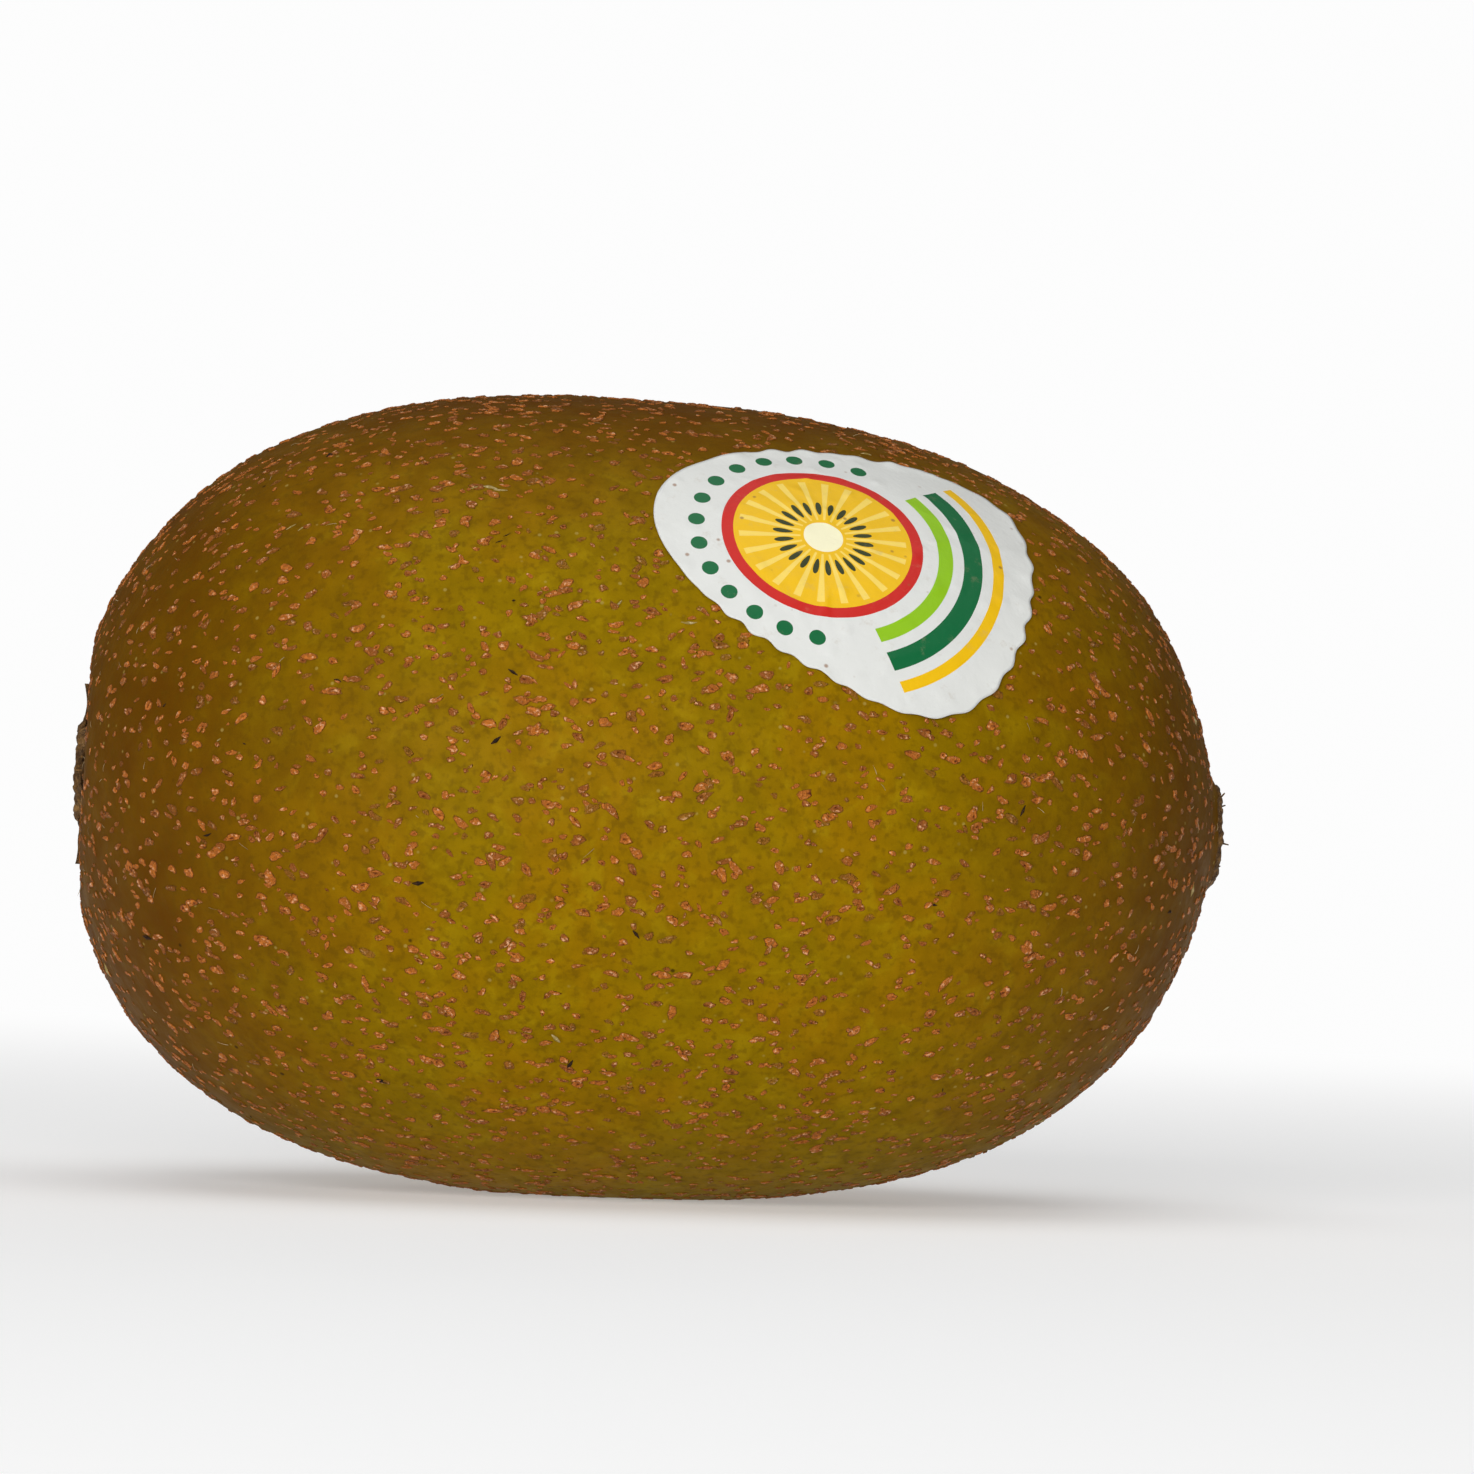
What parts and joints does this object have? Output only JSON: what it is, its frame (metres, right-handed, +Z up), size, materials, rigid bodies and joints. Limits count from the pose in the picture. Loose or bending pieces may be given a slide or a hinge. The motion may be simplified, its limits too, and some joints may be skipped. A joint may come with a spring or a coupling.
{
  "type": "golden kiwi fruit",
  "caption": "Whole golden kiwifruit lying on its side on a small flat spot, with a small oval paper label on its skin.",
  "frame": {"origin": "middle of the small flat spot on the underside that the fruit rests on", "axes": "+X along the fruit towards its blossom end, +Z up away from the resting spot, -Y towards the side that carries the label"},
  "size_m": [0.0708, 0.0527, 0.0493],
  "materials": {
    "skin": "satin",
    "label_paper": "satin"
  },
  "bodies": {
    "root": {"fruit": "skin", "label": "label_paper"}
  },
  "joints": []
}
